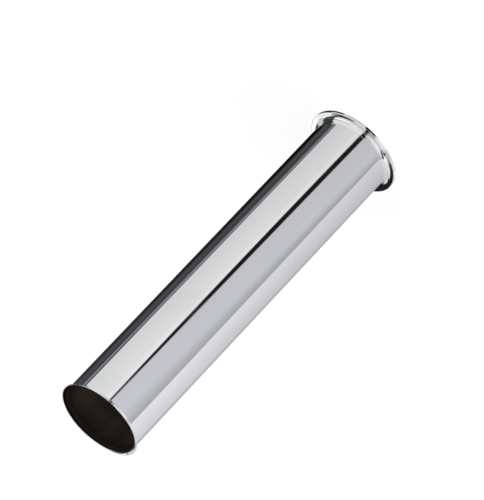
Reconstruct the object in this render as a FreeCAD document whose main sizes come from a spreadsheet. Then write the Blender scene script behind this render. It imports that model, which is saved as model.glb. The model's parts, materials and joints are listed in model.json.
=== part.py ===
import FreeCAD, Part
import math
import os

import Sketcher

# Basin waste tail pipe: a straight drawn tube whose own wall is turned out into a thin
# flange at one end and belled into a sharp-edged lip at the other. It is one piece.
# The frame has its origin at the centre of the flange's sealing face, with +Z along the
# pipe to the lipped end, so the pipe stands on its flange. All sizes are in millimetres.

doc = FreeCAD.newDocument("tail_pipe")

# Driving dimensions, one cell and one alias each
sizes = doc.addObject("Spreadsheet::Sheet", "Sizes")
driving_dimensions = [
    ("outside_diameter", 32.0),
    ("wall", 1.2),
    ("overall_length", 155.0),
    ("flange_bend_radius", 1.5),  # on the outside of the pipe; the bore side has the wall more
    ("seat_width", 1.3),  # flat ring of the sealing face, between the bend and the round rim
    ("lip_flare", 1.1),  # how far the lip stands out past the tube
    ("lip_edge", 0.25),  # what is left of the wall at the lip's edge
]
for row, (alias, value) in enumerate(driving_dimensions, start=1):
    sizes.set(f"A{row}", alias)
    sizes.set(f"B{row}", str(value))
    sizes.setAlias(f"B{row}", alias)
doc.recompute()

# The same sizes as numbers, for the first drawing of the section
wall = sizes.wall
outside_radius = sizes.outside_diameter / 2
bore_radius = outside_radius - wall
bend = sizes.flange_bend_radius
bend_centre = FreeCAD.Vector(outside_radius + bend, wall + bend, 0)
rim_radius = wall / 2
rim_centre = FreeCAD.Vector(bend_centre.x + sizes.seat_width, rim_radius, 0)
flare = sizes.lip_flare
lip_radius = outside_radius + flare
lip_top = sizes.overall_length
lip_underside = lip_top - sizes.lip_edge
flare_centre = FreeCAD.Vector(lip_radius, lip_underside - flare, 0)
bell_centre = FreeCAD.Vector(lip_radius, lip_top - wall - flare, 0)


def line(x1, y1, x2, y2):
    return Part.LineSegment(FreeCAD.Vector(x1, y1, 0), FreeCAD.Vector(x2, y2, 0))


# An arc runs anticlockwise between two angles in degrees
def arc(centre, radius, start, end):
    circle = Part.Circle(centre, FreeCAD.Vector(0, 0, 1), radius)
    return Part.ArcOfCircle(circle, math.radians(start), math.radians(end))


# Half section of the wall, drawn once round from the sealing face
body = doc.addObject("PartDesign::Body", "TailPipe")
body.Label = "tail_pipe"
section = body.newObject("Sketcher::SketchObject", "WallSection")
section_plane = next(plane for plane in body.Origin.OriginFeatures if plane.Role == "XZ_Plane")
section.AttachmentSupport = [(section_plane, "")]
section.MapMode = "FlatFace"

seat = section.addGeometry(line(bend_centre.x, 0, rim_centre.x, 0))
rim = section.addGeometry(arc(rim_centre, rim_radius, -90, 90))
shoulder = section.addGeometry(line(rim_centre.x, wall, bend_centre.x, wall))
bend_outside = section.addGeometry(arc(bend_centre, bend, 180, 270))
outside = section.addGeometry(line(outside_radius, bend_centre.y, outside_radius, flare_centre.y))
flare_outside = section.addGeometry(arc(flare_centre, flare, 90, 180))
edge = section.addGeometry(line(lip_radius, lip_underside, lip_radius, lip_top))
bell = section.addGeometry(arc(bell_centre, wall + flare, 90, 180))
bore = section.addGeometry(line(bore_radius, bell_centre.y, bore_radius, bend_centre.y))
bend_bore = section.addGeometry(arc(bend_centre, wall + bend, 180, 270))

START, END, CENTRE = 1, 2, 3
ORIGIN = (-1, 1)
HORIZONTAL_AXIS = -1

# Neighbouring stretches run smoothly into each other, apart from the two corners of the lip
section.addConstraint([
    Sketcher.Constraint("Tangent", seat, END, rim, START),
    Sketcher.Constraint("Tangent", rim, END, shoulder, START),
    Sketcher.Constraint("Tangent", shoulder, END, bend_outside, END),
    Sketcher.Constraint("Tangent", bend_outside, START, outside, START),
    Sketcher.Constraint("Tangent", outside, END, flare_outside, END),
    Sketcher.Constraint("Coincident", flare_outside, START, edge, START),
    Sketcher.Constraint("Coincident", edge, END, bell, START),
    Sketcher.Constraint("Tangent", bell, END, bore, START),
    Sketcher.Constraint("Tangent", bore, END, bend_bore, START),
    Sketcher.Constraint("Tangent", bend_bore, END, seat, START),
])

# Directions, the shared centre of the flange bend, and the lip's arcs ending level
section.addConstraint([
    Sketcher.Constraint("PointOnObject", seat, START, HORIZONTAL_AXIS),
    Sketcher.Constraint("Horizontal", seat),
    Sketcher.Constraint("Horizontal", shoulder),
    Sketcher.Constraint("Vertical", outside),
    Sketcher.Constraint("Vertical", edge),
    Sketcher.Constraint("Vertical", bore),
    Sketcher.Constraint("Coincident", bend_outside, CENTRE, bend_bore, CENTRE),
    Sketcher.Constraint("Vertical", flare_outside, CENTRE, edge, START),
    Sketcher.Constraint("Vertical", bell, CENTRE, edge, END),
])

# Dimensions, each bound to its cell
dimensions = [
    ("DistanceX", (*ORIGIN, outside, START), outside_radius, "Sizes.outside_diameter / 2"),
    ("DistanceX", (bore, START, outside, END), wall, "Sizes.wall"),
    ("DistanceY", (*ORIGIN, edge, END), lip_top, "Sizes.overall_length"),
    ("Radius", (bend_outside,), bend, "Sizes.flange_bend_radius"),
    ("DistanceX", (seat, START, seat, END), sizes.seat_width, "Sizes.seat_width"),
    ("Radius", (flare_outside,), flare, "Sizes.lip_flare"),
    ("DistanceY", (edge, START, edge, END), sizes.lip_edge, "Sizes.lip_edge"),
]
for kind, points, value, expression in dimensions:
    index = section.addConstraint(Sketcher.Constraint(kind, *points, value))
    section.setExpression(f"Constraints[{index}]", expression)
doc.recompute()

# The whole pipe is that section turned once round the pipe's axis
tube = body.newObject("PartDesign::Revolution", "TurnedWall")
tube.Profile = section
tube.ReferenceAxis = (section, ["V_Axis"])
tube.Angle = 360
doc.recompute()

# Tests before anything is written
for item in doc.Objects:
    if "Invalid" in item.State or "Error" in item.State:
        raise RuntimeError(f"{item.Label} failed to build: {item.State}")
if not section.FullyConstrained:
    raise RuntimeError("the wall section has free dimensions")
if body.Shape.isNull() or not body.Shape.isValid():
    raise RuntimeError("the pipe's solid is not valid")
if len(body.Shape.Solids) != 1:
    raise RuntimeError("the pipe is not one solid")

extent = body.Shape.optimalBoundingBox()
print(f"flange {extent.XLength:.2f} mm across, length {extent.ZLength:.2f} mm")
print(f"volume {body.Shape.Volume:.0f} cubic mm")

os.makedirs("parts", exist_ok=True)
body.Shape.exportStep(f"parts/{body.Label}.step")
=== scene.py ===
import json
import math

import bpy
import numpy as np
from mathutils import Matrix, Vector


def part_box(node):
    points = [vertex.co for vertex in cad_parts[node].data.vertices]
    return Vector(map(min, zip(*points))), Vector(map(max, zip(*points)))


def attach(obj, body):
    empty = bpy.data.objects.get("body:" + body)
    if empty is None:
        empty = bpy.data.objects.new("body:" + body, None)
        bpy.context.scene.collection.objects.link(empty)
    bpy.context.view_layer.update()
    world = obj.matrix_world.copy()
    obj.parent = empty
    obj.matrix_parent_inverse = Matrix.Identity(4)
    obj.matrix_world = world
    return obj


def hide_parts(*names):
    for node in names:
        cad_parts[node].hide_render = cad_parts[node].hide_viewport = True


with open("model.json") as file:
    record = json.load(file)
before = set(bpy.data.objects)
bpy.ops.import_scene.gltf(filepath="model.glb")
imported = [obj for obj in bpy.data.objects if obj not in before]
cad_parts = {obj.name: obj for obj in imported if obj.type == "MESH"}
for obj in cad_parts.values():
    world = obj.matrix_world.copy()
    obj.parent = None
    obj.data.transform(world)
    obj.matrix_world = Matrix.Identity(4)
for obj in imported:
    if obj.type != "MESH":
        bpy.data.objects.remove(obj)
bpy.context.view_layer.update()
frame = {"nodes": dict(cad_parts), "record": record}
mm = 0.001
print("frame loaded:", sorted(frame["nodes"]))


# One value in a node tree. Sums and products of values add their Math nodes.
class Wire:
    def __init__(self, tree, socket=None):
        self.tree = tree
        self.socket = socket

    # Adds any node: its settings first, then a value or a link for each socket; gives one of its outputs
    def node(self, kind, settings=None, sockets=None, out=0):
        made = self.tree.nodes.new(kind)
        for name, value in (settings or {}).items():
            setattr(made, name, value)
        for name, value in (sockets or {}).items():
            if isinstance(value, Wire):
                self.tree.links.new(value.socket, made.inputs[name])
            else:
                made.inputs[name].default_value = value
        return Wire(self.tree, made.outputs[out] if len(made.outputs) else None)

    def math(self, operation, *values):
        return self.node("ShaderNodeMath", {"operation": operation}, dict(enumerate(values)))

    def __add__(self, other):
        return self.math("ADD", self, other)

    def __sub__(self, other):
        if isinstance(other, Wire) or other:
            return self.math("SUBTRACT", self, other)
        return self

    def __rsub__(self, other):
        return self.math("SUBTRACT", other, self)

    def __mul__(self, other):
        if isinstance(other, Wire) or other:
            return self.math("MULTIPLY", self, other)
        return 0

    __radd__ = __add__
    __rmul__ = __mul__

    # Rises smoothly from 0 at low to 1 at high
    def ease(self, low, high, shape="SMOOTHSTEP"):
        ends = {"Value": self, "From Min": low, "From Max": high}
        return self.node("ShaderNodeMapRange", {"interpolation_type": shape}, ends)

    # Goes from one colour to another as this value goes from 0 to 1
    def blend(self, first, second):
        return self.node("ShaderNodeMix", {"data_type": "RGBA"}, {0: self, 6: first, 7: second}, out=2)


def colour(red, green, blue):
    return (red, green, blue, 1.0)


# Sizes of the pipe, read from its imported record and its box, in metres
mounts = {mount["name"]: mount for mount in frame["record"]["mounts"]}
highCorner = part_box("tail_pipe")[1]
boreRadius = mounts["bore"]["dims"]["r_mm"] * mm
boreMiddle = mounts["bore"]["pos_m"][2]
boreHalf = mounts["bore"]["dims"]["length_mm"] * mm / 2
wall = mounts["flange_shoulder"]["pos_m"][2]
flangeRadius = highCorner.x
pipeTop = highCorner.z
tubeRadius = boreRadius + wall
bend = boreMiddle - boreHalf - wall  # the flange's bend, on the outside
flare = pipeTop - boreMiddle - boreHalf - wall  # how far the lip stands out

pipe = {
    "turns": 400,  # steps once round the pipe
    "arcStep": 3.0,  # degrees between the rings of a rounded stretch
    "tightStep": 6.0,  # the same for the small roundings
    "tightRadius": 0.5 * mm,
    "flangeRings": 5,  # rings on each straight stretch of the flange
    "tubeRings": 12,
    "boreRings": 24,
    "ringGap": 0.03 * mm,  # rings set close to each join keep the straight stretches true
    "edgeRounding": 0.26 * mm,  # at the top of the flange's cut edge
    "edgeUnder": 0.2 * mm,  # at the foot of that edge
    "edgeTilt": 6.0,  # degrees that the cut edge faces down
    "shoulderFall": 1.2,  # degrees that the shoulder falls away to its edge
    "shoulderBend": 1.2,  # the bend at the shoulder, as a share of the bend's own radius
    "lipEdge": 0.25 * mm,
    "lipRounding": 0.06 * mm,
    "lipTurn": 80.0,  # degrees that each corner of the lip turns
    "plateEdge": 73.5,  # degrees up the bell where the bright plate stops
    "plateSway": 13.5,  # how far that edge runs up and down round the mouth
    "plateHighest": -110.0,  # where it runs highest, in degrees round from the camera
    "plateFade": 4.0,
    "rimFade": (0.2 * mm, 0.75 * mm),  # depths below the lip between which the black rim of painted shade ends
    "mouthFade": (1.6 * mm, 4.5 * mm),  # the same for the dark mouth, where shade is painted into the bore's colour
    "seatFade": (0.05 * mm, 0.4 * mm),  # heights between which the ground sealing face ends
    "bareStart": 0.1,  # where the bare bore starts at the flange, as a share of the bend
}


# Arc: centre plus radius times the cosine and sine of an angle that runs evenly from start to end
def arcRings(centre, radius, start, end):
    step = pipe["tightStep"] if radius < pipe["tightRadius"] else pipe["arcStep"]
    count = int(abs(end - start) / step) + 1
    angle = np.radians(np.linspace(start, end, count))
    return np.stack([centre[0] + radius * np.cos(angle), centre[1] + radius * np.sin(angle)], axis=1)


# Straight stretch: both ends lie close inside the neighbouring arcs' ends, with even rings between
def straightRings(first, last, count):
    first = np.array(first)
    last = np.array(last)
    length = np.linalg.norm(last - first)
    inset = min(pipe["ringGap"], length / 4) / length
    share = np.linspace(inset, 1 - inset, count)[:, None]
    return first + (last - first) * share


# Half section of the wall as rings of radius and height, once round from the sealing face.
# The flange's cut edge is a straight face between two roundings. The upper rounding's centre is below the
# shoulder's line by the rounding over the cosine of the fall. The lower one's centre is further in than the
# upper one's by the height between them times the tangent of the tilt, and further out by the difference of
# the two roundings over the cosine of the tilt.
# The flare and the bell stop short of the lip by the angle whose sine is its rounding over their radius.
def wallSection():
    bendCentre = (tubeRadius + bend, wall + bend)
    edge = pipe["edgeRounding"]
    under = pipe["edgeUnder"]
    tilt = pipe["edgeTilt"]
    lean = math.radians(tilt)
    fall = math.radians(pipe["shoulderFall"])
    easy = bend * pipe["shoulderBend"]
    easyCentre = (tubeRadius + easy, wall + easy)
    bendEnd = (easyCentre[0] + easy * math.sin(fall), easyCentre[1] - easy * math.cos(fall))
    edgeOut = flangeRadius - edge
    upperEdge = (edgeOut, bendEnd[1] - (edgeOut - bendEnd[0]) * math.tan(fall) - edge / math.cos(fall))
    shoulderEnd = (edgeOut + edge * math.sin(fall), upperEdge[1] + edge * math.cos(fall))
    underOut = edgeOut + (edge - under) / math.cos(lean) - (upperEdge[1] - under) * math.tan(lean)
    underEdge = (underOut, under)
    faceFoot = (underOut + under * math.cos(lean), under - under * math.sin(lean))
    faceTop = (edgeOut + edge * math.cos(lean), upperEdge[1] - edge * math.sin(lean))
    lipRadius = tubeRadius + flare
    underLip = pipeTop - pipe["lipEdge"]
    corner = pipe["lipRounding"]
    lipTurn = pipe["lipTurn"]
    flareCentre = (lipRadius, underLip - flare)
    bellCentre = (lipRadius, pipeTop - wall - flare)
    flareEnd = 90 + math.degrees(math.asin(corner / flare))
    bellStart = 90 + math.degrees(math.asin(corner / (flare + wall)))
    flat = pipe["flangeRings"]
    tubeEnds = [(tubeRadius, easyCentre[1]), (tubeRadius, flareCentre[1])]
    boreEnds = [(boreRadius, bellCentre[1]), (boreRadius, bendCentre[1])]
    return {
        "seat": straightRings((bendCentre[0], 0), (underEdge[0], 0), flat),
        "edgeUnder": arcRings(underEdge, under, -90, -tilt),
        "edgeFace": straightRings(faceFoot, faceTop, flat),
        "edgeUpper": arcRings(upperEdge, edge, -tilt, 90 - pipe["shoulderFall"]),
        "shoulder": straightRings(shoulderEnd, bendEnd, flat),
        "bend": arcRings(easyCentre, easy, 270 + pipe["shoulderFall"], 180),
        "outside": straightRings(*tubeEnds, pipe["tubeRings"]),
        "flare": arcRings(flareCentre, flare, 180, flareEnd),
        "underCorner": arcRings((lipRadius - corner, underLip + corner), corner, -lipTurn, 0),
        "topCorner": arcRings((lipRadius - corner, pipeTop - corner), corner, 0, lipTurn),
        "bell": arcRings(bellCentre, flare + wall, bellStart, 180),
        "bore": straightRings(*boreEnds, pipe["boreRings"]),
        "boreBend": arcRings(bendCentre, bend + wall, 180, 270),
    }


# Turned surface: each ring's radius times the cosine and sine of the turn, at the ring's height.
# Quads join each ring to the next, and both ways round close on themselves.
def turnedMesh(name, rings, attributes):
    turns = pipe["turns"]
    turn = np.linspace(0, 2 * np.pi, turns, endpoint=False)
    radius = rings[:, 0][:, None]
    points = np.empty((len(rings), turns, 3))
    points[..., 0] = radius * np.cos(turn)
    points[..., 1] = radius * np.sin(turn)
    points[..., 2] = rings[:, 1][:, None]
    index = np.arange(len(rings) * turns).reshape(len(rings), turns)
    nextRing = np.roll(index, -1, axis=0)
    quads = np.stack([index, np.roll(index, -1, axis=1), np.roll(nextRing, -1, axis=1), nextRing], axis=-1)
    mesh = bpy.data.meshes.new(name)
    mesh.from_pydata(points.reshape(-1, 3), [], quads.reshape(-1, 4))
    for label, values in attributes.items():
        layer = mesh.attributes.new(label, "FLOAT", "POINT")
        layer.data.foreach_set("value", np.broadcast_to(values, index.shape).astype(np.float32).ravel())
    mesh.polygons.foreach_set("use_smooth", np.ones(len(mesh.polygons), dtype=bool))
    mesh.update()
    return mesh


# Smooth step: three times the square of the share between low and high, less twice its cube
def easeArray(values, low, high):
    share = np.clip((values - low) / (high - low), 0, 1)
    return share * share * (3 - 2 * share)


# Shares of each finish and of painted shade over the wall: the bare bore, its dark mouth and black rim
# painted as shade, and the ground sealing face.
# The plate's edge in the bell is an angle up the bell that sways with the cosine of the turn.
def finishAndShadeShares(stretches):
    rings = np.concatenate(list(stretches.values()))
    label = np.concatenate([[name] * len(part) for name, part in stretches.items()])[:, None]
    height = rings[:, 1][:, None]
    depth = pipeTop - height
    turn = np.linspace(0, 2 * np.pi, pipe["turns"], endpoint=False)
    fromCamera = np.arctan2(-np.cos(turn), -np.sin(turn))
    plateEdge = pipe["plateEdge"] + pipe["plateSway"] * np.cos(fromCamera - np.radians(pipe["plateHighest"]))
    upBell = np.degrees(np.arcsin(np.clip(1 - depth / (wall + flare), 0, 1)))
    inBell = 1 - easeArray(upBell, plateEdge - pipe["plateFade"], plateEdge + pipe["plateFade"])
    inBend = easeArray(height, pipe["bareStart"] * bend, bend)
    bare = np.where(label == "bell", inBell, 0.0)
    bare = np.where(label == "bore", 1.0, bare)
    bare = np.where(label == "boreBend", inBend, bare)
    # Painted shade: the colour darkens towards the bore's mouth, and a black rim is painted just under the
    # lip
    mouth = np.where(np.isin(label, ["bell", "bore"]), 1 - easeArray(depth, *pipe["mouthFade"]), 0.0)
    rim = np.where(label == "bell", 1 - easeArray(depth, *pipe["rimFade"]), 0.0)
    seat = np.where(np.isin(label, ["seat", "boreBend"]), 1 - easeArray(height, *pipe["seatFade"]), 0.0)
    return rings, {"bareShare": bare, "seatShare": seat, "mouthShare": mouth, "rimShare": rim}


finish = {
    "plate": colour(0.78, 0.785, 0.79),
    "plateHaze": colour(0.72, 0.73, 0.75),
    "hazeShare": 0.5,
    "plateRoughness": 0.035,
    "hazeRoughness": 0.05,
    "waveHeight": 6e-6,  # slow waviness left by drawing the tube, in metres
    "drawHeight": 0.5e-6,  # fine lines along the tube
    "boreLines": 6,  # how many times stronger those lines get in the bore
    "bare": colour(0.076, 0.057, 0.045),
    "bareDark": colour(0.044, 0.034, 0.027),
    # Painted shade: the bore's mouth and a black rim just under the lip
    "bareMouth": colour(0.0110, 0.0092, 0.0083),
    "bareRim": colour(0.001, 0.001, 0.001),
    "bareRoughness": 0.6,
    "tarnishRoughness": 0.15,
    "bareMetallic": 0.15,  # in the bore, and none in its mouth
    "specular": 0.02,
    "seat": colour(0.62, 0.62, 0.61),
    "seatRoughness": 0.28,
    "hazeNoise": {"scale": 55, "detail": 4, "stretch": (1, 1, 0.6)},
    "hazeRange": (0.45, 0.75),
    "drawNoise": {"scale": 420, "detail": 2, "stretch": (1, 1, 0.012)},
    "waveNoise": {"scale": 38, "detail": 1, "stretch": (1, 1, 0.5)},
    "tarnishNoise": {"scale": 130, "detail": 5, "stretch": (1, 1, 0.35)},
    "tarnishRange": (0.35, 0.7),
}


# Bright plate, blended by the shares into the bare bore, the shade painted at its mouth and rim, and the
# ground sealing face
def pipeFinish():
    made = bpy.data.materials.new("chromePlate")
    made.use_nodes = True
    tree = made.node_tree
    tree.nodes.clear()
    start = Wire(tree)
    place = start.node("ShaderNodeTexCoord", out=3)

    def share(name):
        return start.node("ShaderNodeAttribute", {"attribute_name": name}, out=2)

    def noise(scale, detail, stretch):
        stretched = start.node("ShaderNodeMapping", sockets={"Vector": place, "Scale": stretch})
        look = {"Vector": stretched, "Scale": scale, "Detail": detail}
        return start.node("ShaderNodeTexNoise", sockets=look)

    bare = share("bareShare")
    seat = share("seatShare")
    # Masks of the shade painted at the bore's mouth and at the black rim under the lip
    mouth = share("mouthShare")
    rim = share("rimShare")
    haze = noise(**finish["hazeNoise"]).ease(*finish["hazeRange"])
    streak = noise(**finish["drawNoise"])
    wave = noise(**finish["waveNoise"])
    tarnish = noise(**finish["tarnishNoise"]).ease(*finish["tarnishRange"])

    plateColour = (haze * finish["hazeShare"]).blend(finish["plate"], finish["plateHaze"])
    # Painted shade: the mouth and the black rim under the lip darken the bare bore's colour
    mouthShadeColour = rim.blend(finish["bareMouth"], finish["bareRim"])
    bareAndShadeColour = mouth.blend(tarnish.blend(finish["bareDark"], finish["bare"]), mouthShadeColour)
    faceColour = seat.blend(plateColour, finish["seat"])
    baseColour = bare.blend(faceColour, bareAndShadeColour)

    plateRough = haze * finish["hazeRoughness"] + finish["plateRoughness"]
    seatRough = plateRough + seat * (finish["seatRoughness"] - finish["plateRoughness"])
    bareRough = tarnish * finish["tarnishRoughness"] + finish["bareRoughness"]
    rough = seatRough * (1 - bare) + bare * bareRough
    bareMetallic = finish["bareMetallic"]
    metallic = 1 - bare * (mouth * bareMetallic + (1 - bareMetallic))

    height = wave * finish["waveHeight"] + streak * finish["drawHeight"] * (1 + finish["boreLines"] * bare)
    normal = start.node("ShaderNodeBump", sockets={"Strength": 1.0, "Distance": 1.0, "Height": height})
    shader = start.node(
        "ShaderNodeBsdfPrincipled",
        sockets={"Base Color": baseColour, "Roughness": rough, "Metallic": metallic, "Normal": normal,
                 "Specular IOR Level": finish["specular"]},
    )
    start.node("ShaderNodeOutputMaterial", sockets={"Surface": shader})
    return made


rings, shares = finishAndShadeShares(wallSection())
tailPipe = bpy.data.objects.new("tailPipe", turnedMesh("tailPipe", rings, shares))
bpy.context.scene.collection.objects.link(tailPipe)
tailPipe.data.materials.append(pipeFinish())
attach(tailPipe, "root")
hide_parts("tail_pipe")
print("pipe turned:", len(rings), "rings,", len(tailPipe.data.polygons), "faces")


floor = {
    "halfSize": 6.0,
    "tint": colour(0.98, 0.98, 0.98),
    "roughness": 0.9,
    "white": colour(1.0, 1.0, 1.0),
    "whiteShare": 0.8,  # how much of the backdrop's white the camera sees over the shaded paper
}


# A square of pale paper that takes the pipe's shadow
def floorSheet():
    half = floor["halfSize"]
    corners = [(-half, -half, 0), (half, -half, 0), (half, half, 0), (-half, half, 0)]
    mesh = bpy.data.meshes.new("floorSheet")
    mesh.from_pydata(corners, [], [(0, 1, 2, 3)])
    made = bpy.data.materials.new("floorPaper")
    made.use_nodes = True
    tree = made.node_tree
    tree.nodes.clear()
    start = Wire(tree)
    look = {"Color": floor["tint"], "Roughness": floor["roughness"]}
    paper = start.node("ShaderNodeBsdfDiffuse", sockets=look)
    backdrop = start.node("ShaderNodeEmission", sockets={"Color": floor["white"], "Strength": 1.0})
    whiteSeen = start.node("ShaderNodeLightPath", out=0) * floor["whiteShare"]  # by the camera only
    shader = start.node("ShaderNodeMixShader", sockets={0: whiteSeen, 1: paper, 2: backdrop})
    start.node("ShaderNodeOutputMaterial", sockets={"Surface": shader})
    mesh.materials.append(made)
    sheet = bpy.data.objects.new("floorSheet", mesh)
    bpy.context.scene.collection.objects.link(sheet)
    sheet.visible_glossy = False  # the plate mirrors the studio's cards below instead


floorSheet()
print("floor laid")


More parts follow.
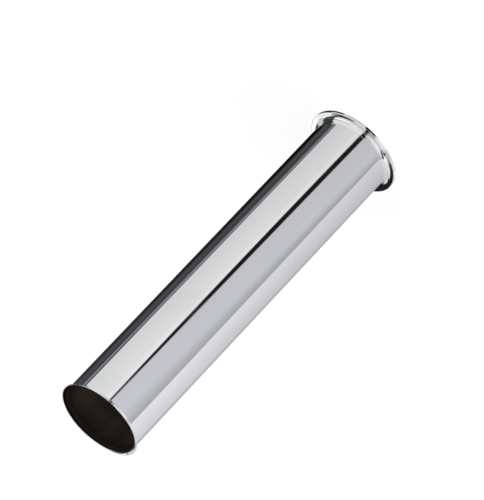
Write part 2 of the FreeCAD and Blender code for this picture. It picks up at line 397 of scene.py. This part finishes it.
# The studio round the pipe: a white tent, with the cards and flags that the bright plate mirrors.
# Azimuth is in degrees round the pipe from the camera, positive to the -X side; elevation is up from level.
# soft and softEnd are how many degrees a card's two sides fade over, and rise is the same for its low and
# high edges. ramp is where a card's level goes from its first value to its second, and fade dims it for each
# degree down. lean moves a card's two sides, in degrees for each degree down, and curve moves them with the
# square of that. skew moves them for each degree up from the card's middle, and slope tilts the whole card.
tubeStrip = (-34, -21)
edgeStrip = (-48, -35.5)  # mirrored by the flange's cut edge
studio = {
    "tent": 1.0,
    "mirrored": colour(1.22, 1.22, 1.22),
    "leanLevel": -28.0,  # the elevation that degrees down are counted from
    "leanReach": 3.5,
    "rise": 1.5,
    "fade": 0.02,
    "cards": [
        # Bands along the tube, from its front to its right outline, then to its left
        {"azimuth": (-91.7, -10), "elevation": tubeStrip, "soft": 2, "level": (0.79, 0.93),
         "lean": (1.05, 0)},
        {"azimuth": (-12, 71), "elevation": tubeStrip, "soft": 2, "level": (0.68, 0.72),
         "tint": (0.99, 1.0, 1.055)},
        {"azimuth": (47, 71), "elevation": tubeStrip, "soft": 12, "softEnd": 2, "level": (0.62, 0.46),
         "tint": (0.98, 0.99, 1.045), "lean": (4.5, 0)},
        {"azimuth": (71, 142), "elevation": tubeStrip, "soft": 2, "level": (0.90, 0.68), "fade": 0.045,
         "tint": (0.99, 0.99, 1.02)},
        {"azimuth": (142, 181), "elevation": tubeStrip, "soft": 3, "level": (0.52, 0.50),
         "tint": (0.98, 0.99, 1.04)},
        {"azimuth": (-181, -93.2), "elevation": tubeStrip, "soft": 2, "level": (0.10, 0.27),
         "tint": (0.96, 0.99, 1.05), "lean": (0, 1.05)},
        {"azimuth": (-106.3, -101.8), "elevation": tubeStrip, "soft": 1.5, "level": (0.27, 0.27),
         "fade": 0.14, "lean": (1, 1)},
        {"azimuth": (-103.2, -99.2), "elevation": (-26.6, -21), "soft": 1.2, "level": (0.07, 0.07),
         "rise": 0.7},
        {"azimuth": (-181, -105.5), "elevation": tubeStrip, "soft": 2.5, "level": (0.035, 0.080),
         "ramp": (-145, -128), "tint": (0.93, 0.97, 1.10), "lean": (0, 1.2)},
        {"azimuth": (-165, -137), "elevation": tubeStrip, "soft": 7, "level": (0.017, 0.017),
         "fade": 0.38, "lean": (0, 1.5)},
        {"azimuth": (-117, -111), "elevation": tubeStrip, "soft": 2.5, "level": (0.050, 0.050),
         "lean": (1.4, 1.4)},
        {"azimuth": (-30, -18), "elevation": tubeStrip, "soft": 4, "softEnd": 1, "level": (0.95, 0.98),
         "tint": (1.01, 1.0, 0.985)},
        # Above the bands, mirrored by the flange's bend and its edge's roundings
        {"azimuth": (-108, -12), "elevation": (-21, 79), "soft": 4, "softEnd": 2, "level": (0.86, 0.90),
         "rise": 3},
        {"azimuth": (-8, 71), "elevation": (-21, 30), "soft": 2, "level": (0.61, 0.69), "rise": 4,
         "tint": (0.99, 1.0, 1.05)},
        {"azimuth": (-8, 20), "elevation": (30, 79), "soft": 3, "level": (0.60, 0.66), "rise": 4},
        {"azimuth": (20, 78), "elevation": (30, 79), "soft": 3, "level": (0.80, 0.95), "rise": 4},
        {"azimuth": (50, 70), "elevation": (-21, 26), "soft": 6, "softEnd": 2, "level": (0.62, 0.50),
         "rise": 4},
        {"azimuth": (71, 165), "elevation": (-21, 22), "soft": 2, "level": (0.84, 0.60), "rise": 4},
        {"azimuth": (78, 181), "elevation": (22, 50), "soft": 3, "level": (0.88, 0.82), "rise": 4},
        {"azimuth": (-181, -136), "elevation": (-24, 28), "soft": 3, "level": (0.74, 0.70),
         "tint": (0.97, 1.0, 1.03)},
        {"azimuth": (-181, -136), "elevation": (28, 38), "soft": 3, "level": (1.22, 0.90),
         "ramp": (-168, -145), "tint": (0.98, 1.0, 1.02)},
        {"azimuth": (-74, -6), "elevation": (79, 91), "soft": 6, "level": (0.04, 0.04), "rise": 2},
        # Below the bands, mirrored by the flare under the lip
        {"azimuth": (-100, -8), "elevation": (-66, -36), "soft": 6, "level": (1.08, 1.08), "rise": 3},
        {"azimuth": (-8, 52), "elevation": (-80, -36), "soft": 6, "level": (0.84, 0.84), "rise": 3},
        {"azimuth": (60, 80), "elevation": (-66, -35), "soft": 5, "level": (0.48, 0.48),
         "skew": (-1.3, -1.3)},
        {"azimuth": (-165, -112), "elevation": (-50, -33), "soft": 5, "level": (0.06, 0.06)},
        {"azimuth": (-180, 0), "elevation": (-91, -70), "soft": 6, "level": (0.12, 0.12), "rise": 4},
        # Mirrored by the flange's cut edge
        {"azimuth": (-181, -82), "elevation": (-42, -33), "soft": 7, "level": (0.02, 0.02)},
        {"azimuth": (-76, -20), "elevation": (-44, -37), "soft": 6, "level": (0.60, 0.72)},
        {"azimuth": (20, 60), "elevation": edgeStrip, "soft": 4, "level": (1.22, 1.22)},
        {"azimuth": (60, 130), "elevation": edgeStrip, "soft": 4, "level": (0.85, 1.0)},
        # The gap between two cards, which draws the thin dark line
        {"azimuth": (-19.2, -7.9), "elevation": tubeStrip, "soft": 1.5, "level": (0.012, 0.012),
         "lean": (0.3, 1.9), "curve": (0.33, 0)},
        {"azimuth": (-14.5, -1.5), "elevation": (-22, 40), "soft": 1.5, "level": (0.012, 0.012)},
        {"azimuth": (-17.5, -4.5), "elevation": (38, 60), "soft": 1.5, "level": (0.012, 0.012),
         "skew": (-0.2, -0.2)},
        {"azimuth": (-25, -9), "elevation": (58, 82), "soft": 2, "level": (0.012, 0.012),
         "skew": (-0.6, -0.4)},
        {"azimuth": (-20, -10), "elevation": (-76, -33), "soft": 2, "level": (0.03, 0.03),
         "skew": (0.15, 0.15)},
        {"azimuth": (-16, 14), "elevation": (-47, -37), "soft": 3, "level": (0.012, 0.012)},
        # What the flat shoulder mirrors by way of the tube
        {"azimuth": (-4, 19), "elevation": (31.8, 35), "soft": 2, "level": (0.02, 0.02), "rise": 0.4},
        {"azimuth": (22, 56), "elevation": (31.7, 33.7), "soft": 3, "level": (1.5, 1.3), "rise": 0.4},
        {"azimuth": (56, 112), "elevation": (31.2, 33.4), "soft": 3, "level": (1.0, 0.30), "rise": 0.4},
        # A short dark mark on the right of the bend
        {"azimuth": (78, 130), "elevation": (54.5, 67), "soft": 3, "level": (0.012, 0.012), "rise": 1,
         "slope": 0.3},
        {"azimuth": (72, 102), "elevation": (43, 50.5), "soft": 2, "level": (0.03, 0.012), "rise": 1,
         "slope": 0.8},
        # Flags behind, mirrored by the two ends of the flange
        {"azimuth": (-138, -103), "elevation": (-24, 24), "soft": 3, "level": (0.045, 0.045),
         "skew": (-0.25, -0.1)},
        {"azimuth": (-171, -157), "elevation": (-24, 16), "soft": 2, "level": (0.02, 0.02)},
        {"azimuth": (-157, -116), "elevation": (22, 46), "soft": 3, "level": (0.035, 0.035),
         "skew": (-1.6, -1.1)},
        {"azimuth": (150, 182), "elevation": (-20, 29), "soft": 3, "level": (0.012, 0.012),
         "skew": (0.56, 0)},
        # Strips that only the tube's end mirrors by way of the shoulder
        {"azimuth": (-172, -104), "elevation": (28.6, 30.4), "soft": 5, "level": (0.03, 0.05), "rise": 0.3},
        {"azimuth": (-98, -20), "elevation": (27.4, 29.6), "soft": 4, "level": (1.0, 1.0), "rise": 0.4},
        {"azimuth": (76, 155), "elevation": (28.0, 30.3), "soft": 4, "level": (0.95, 0.60), "rise": 0.3},
        {"azimuth": (168, 182), "elevation": (24, 32), "soft": 3, "level": (0.012, 0.012), "rise": 1},
        # Strips that only the shoulder mirrors, the left ones by way of the tube
        {"azimuth": (-181, -118), "elevation": (30.4, 32.2), "soft": 5, "level": (0.95, 0.45), "rise": 0.3},
        {"azimuth": (-116, -56), "elevation": (31.2, 36), "soft": 7, "level": (0.03, 0.03), "rise": 0.4},
        {"azimuth": (112, 182), "elevation": (30.0, 32.6), "soft": 4, "level": (0.05, 0.012), "rise": 0.3},
    ],
}


# Each card covers the product of its two sides' smooth steps and its low and high edges' smooth steps, and is
# laid over the cards before it. Only mirrored rays meet the cards; all others meet the plain tent.
def studioWorld():
    world = bpy.data.worlds.new("studio")
    bpy.context.scene.world = world
    world.use_nodes = True
    tree = world.node_tree
    tree.nodes.clear()
    start = Wire(tree)
    direction = start.node("ShaderNodeTexCoord", out=0)
    split = direction.node("ShaderNodeSeparateXYZ", sockets={"Vector": direction})
    parts = split.socket.node.outputs
    x, y, z = [Wire(tree, parts[name]) for name in "XYZ"]
    toDegrees = 180 / math.pi
    azimuth = start.math("ARCTAN2", x * -1, y * -1) * toDegrees
    elevation = start.math("ARCSINE", z) * toDegrees
    reach = studio["leanReach"]
    down = start.math("MAXIMUM", start.math("MINIMUM", studio["leanLevel"] - elevation, reach), -reach)

    mirrored = studio["mirrored"]
    for card in studio["cards"]:
        first, last = card["azimuth"]
        low, high = card["elevation"]
        soft = card["soft"]
        softEnd = card.get("softEnd", soft)
        rise = card.get("rise", studio["rise"])
        leanFirst, leanLast = card.get("lean", (0, 0))
        curveFirst, curveLast = card.get("curve", (0, 0))
        skewFirst, skewLast = card.get("skew", (0, 0))
        aboveMiddle = elevation - (low + high) / 2
        fromFirst = azimuth - down * (leanFirst + down * curveFirst) - aboveMiddle * skewFirst
        fromLast = azimuth - down * (leanLast + down * curveLast) - aboveMiddle * skewLast
        pastFirst = fromFirst.ease(first - soft, first + soft)
        pastLast = fromLast.ease(last - softEnd, last + softEnd)
        climb = elevation - (azimuth - (first + last) / 2) * card.get("slope", 0)
        pastLow = climb.ease(low - rise, low + rise)
        pastHigh = climb.ease(high - rise, high + rise)
        cover = pastFirst * (1 - pastLast) * (pastLow * (1 - pastHigh))
        startLevel, endLevel = card["level"]
        ramp = azimuth.ease(*card.get("ramp", (first, last)), "LINEAR")
        level = startLevel + (endLevel - startLevel) * ramp
        level = level * (1 - down * card.get("fade", studio["fade"]))
        tint = card.get("tint", (1, 1, 1))
        lit = start.node("ShaderNodeCombineColor", sockets=dict(enumerate([level * part for part in tint])))
        mirrored = cover.blend(mirrored, lit)

    isGlossy = start.node("ShaderNodeLightPath", out=3)
    tent = colour(studio["tent"], studio["tent"], studio["tent"])
    seen = isGlossy.blend(tent, mirrored)
    background = start.node("ShaderNodeBackground", sockets={"Color": seen, "Strength": 1.0})
    start.node("ShaderNodeOutputWorld", sockets={"Surface": background})


studioWorld()
print("studio set:", len(studio["cards"]), "cards")


lamp = {"place": (-0.5, -0.4, 1.6), "size": 1.2, "power": 4.0}


# A round soft lamp that faces the origin and isn't mirrored
def softLamp():
    data = bpy.data.lights.new("softLamp", "AREA")
    data.shape = "DISK"
    data.size = lamp["size"]
    data.energy = lamp["power"]
    made = bpy.data.objects.new("softLamp", data)
    bpy.context.scene.collection.objects.link(made)
    made.location = lamp["place"]
    made.rotation_euler = (-Vector(lamp["place"])).to_track_quat("-Z", "Y").to_euler()
    made.visible_glossy = False


softLamp()
print("lamp set")


camera = {
    "elevation": 28.261,  # degrees above level, looking along +Y
    "distance": 1.48454,
    "aim": (0.004864, 0.0, 0.064312),
    "roll": 136.549,
    "lens": 288.0,
    "sensor": 36.0,
    "clipEnd": 50.0,
}


# Looks at the aim from the distance back along the view, rolled about the view
def photoCamera():
    tilt = math.radians(camera["elevation"])
    roll = math.radians(camera["roll"])
    forward = Vector((0, math.cos(tilt), -math.sin(tilt)))
    levelRight = Vector((1, 0, 0))
    levelUp = Vector((0, math.sin(tilt), math.cos(tilt)))
    right = levelRight * math.cos(roll) - levelUp * math.sin(roll)
    up = levelRight * math.sin(roll) + levelUp * math.cos(roll)
    data = bpy.data.cameras.new("photoCamera")
    data.sensor_width = camera["sensor"]
    data.lens = camera["lens"]
    data.clip_end = camera["clipEnd"]
    made = bpy.data.objects.new("photoCamera", data)
    bpy.context.scene.collection.objects.link(made)
    turned = Matrix((right, up, -forward)).transposed().to_4x4()
    made.matrix_world = Matrix.Translation(Vector(camera["aim"]) - forward * camera["distance"]) @ turned
    bpy.context.scene.camera = made


photoCamera()
bpy.context.scene.view_settings.view_transform = "Standard"
print("camera set")
